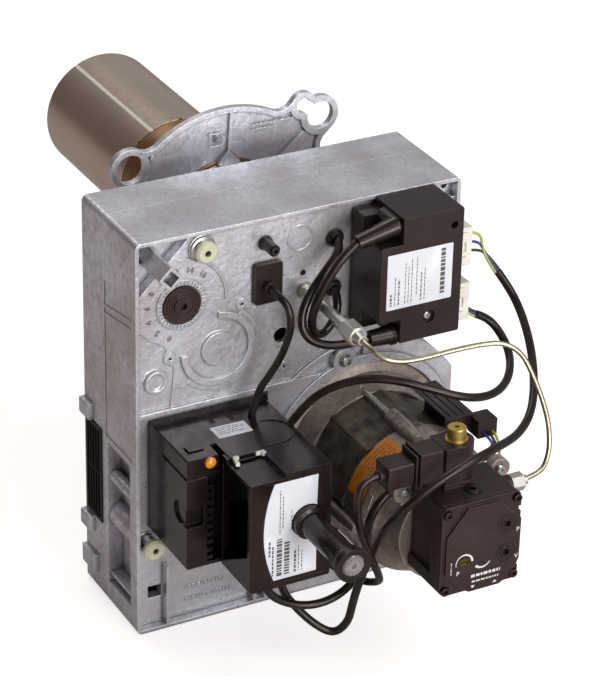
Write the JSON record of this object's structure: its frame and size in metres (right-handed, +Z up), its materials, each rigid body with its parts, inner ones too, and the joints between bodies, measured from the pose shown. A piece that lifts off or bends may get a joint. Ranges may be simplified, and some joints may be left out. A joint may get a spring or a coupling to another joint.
{
  "type": "oil burner",
  "caption": "Pressure-jet oil burner for a heating boiler: cast housing, steel burner tube, fan motor, oil pump with valve, ignition unit and flame control",
  "frame": {"origin": "on the burner tube's axis, in the mounting flange's face that meets the boiler", "axes": "+Y along the burner tube into the boiler, +Z up, +X to the right as seen from the operator's side"},
  "size_m": [0.3088, 0.5601, 0.3816],
  "materials": {
    "cast_aluminium": "die-cast skin, mottled",
    "tube_steel": "satin stainless",
    "zinc_steel": "zinc plated",
    "dark_steel": "blackened",
    "lamination": "lacquered laminations",
    "copper": "enamelled wire",
    "brass_part": "turned brass",
    "oil_tube": "yellow passivated",
    "black_plastic": "moulded, fine grain",
    "white_plastic": "moulded",
    "cream_plastic": "moulded",
    "amber_lens": "translucent",
    "grey_lens": "smoked, clear",
    "pump_black": "black coated die-casting",
    "black_rubber": "moulded",
    "ceramic": "glazed ceramic",
    "lead_sheath": "smooth sheath"
  },
  "bodies": {
    "burner": {"front_housing": "cast_aluminium", "rear_housing": "cast_aluminium", "air_inlet_grille": "black_plastic", "mounting_flange": "cast_aluminium", "burner_tube": "tube_steel", "tube_root": "tube_steel", "motor_rear_shield": "cast_aluminium", "stator_stack": "lamination", "stator_windings": "copper", "motor_front_shield": "cast_aluminium", "motor_tie_bolts": "zinc_steel", "motor_bearings": "zinc_steel", "fan_inlet_ring": "zinc_steel", "capacitor_box": "black_plastic", "mounting_screws": "zinc_steel", "pump_body": "pump_black", "pump_cover": "pump_black", "pump_cover_screws": "dark_steel", "pump_port_plugs": "dark_steel", "valve_stem": "zinc_steel", "solenoid_coil": "black_plastic", "coil_nut": "brass_part", "valve_plug": "black_plastic", "union_nuts": "zinc_steel", "nozzle_pipe": "zinc_steel", "oil_preheater": "brass_part", "spray_nozzle": "brass_part", "baffle_plate": "tube_steel", "ignition_electrodes": "ceramic", "ignition_unit": "black_plastic", "supply_connectors": "white_plastic", "lead_wires": "lead_sheath", "hv_boots": "black_rubber", "cable_grommets": "black_rubber", "locking_screws": "zinc_steel", "locking_caps": "cream_plastic", "control_base": "black_plastic", "control_cover": "black_plastic", "reset_sleeve": "black_plastic", "signal_lamp": "amber_lens", "flame_sensor_plug": "black_plastic", "pressure_nipple": "black_plastic", "sensor_cable": "lead_sheath", "hv_cable_upper": "lead_sheath", "hv_cable_lower": "lead_sheath", "supply_cable": "lead_sheath", "ignition_cable": "lead_sheath", "valve_cable": "lead_sheath", "motor_cable": "lead_sheath", "oil_line": "oil_tube"},
    "rotor": {"motor_shaft": "zinc_steel", "rotor_core": "lamination", "fan_wheel": "zinc_steel", "drive_coupling": "black_plastic", "pump_shaft": "zinc_steel"},
    "air_setting": {"air_dial": "black_plastic", "air_damper": "zinc_steel"},
    "reset_key": {"reset_button": "grey_lens"},
    "pressure_setting": {"pressure_screw": "brass_part"},
    "armature": {"valve_armature": "zinc_steel"}
  },
  "joints": [
    {"name": "rotor_spin", "type": "hinge", "parent": "burner", "child": "rotor", "pos_m": [0.058, -0.136, -0.1582], "axis": [0, 1, 0], "continuous": true},
    {"name": "air_dial_turn", "type": "hinge", "parent": "burner", "child": "air_setting", "pos_m": [-0.1015, -0.136, 0.0043], "axis": [0, 1, 0], "range_deg": [-150, 120]},
    {"name": "reset_press", "type": "slide", "parent": "burner", "child": "reset_key", "axis": [0, 1, 0], "range_m": [0, 0.0025], "stiffness_N_per_m": 800, "springref_m": -0.0005},
    {"name": "pressure_turn", "type": "hinge", "parent": "burner", "child": "pressure_setting", "pos_m": [0.04182, -0.136, -0.1569], "axis": [0, 1, 0], "range_deg": [-720, 720]},
    {"name": "armature_lift", "type": "slide", "parent": "burner", "child": "armature", "axis": [0, 0, 1], "range_m": [0, 0.0015], "stiffness_N_per_m": 400, "springref_m": -0.001}
  ]
}
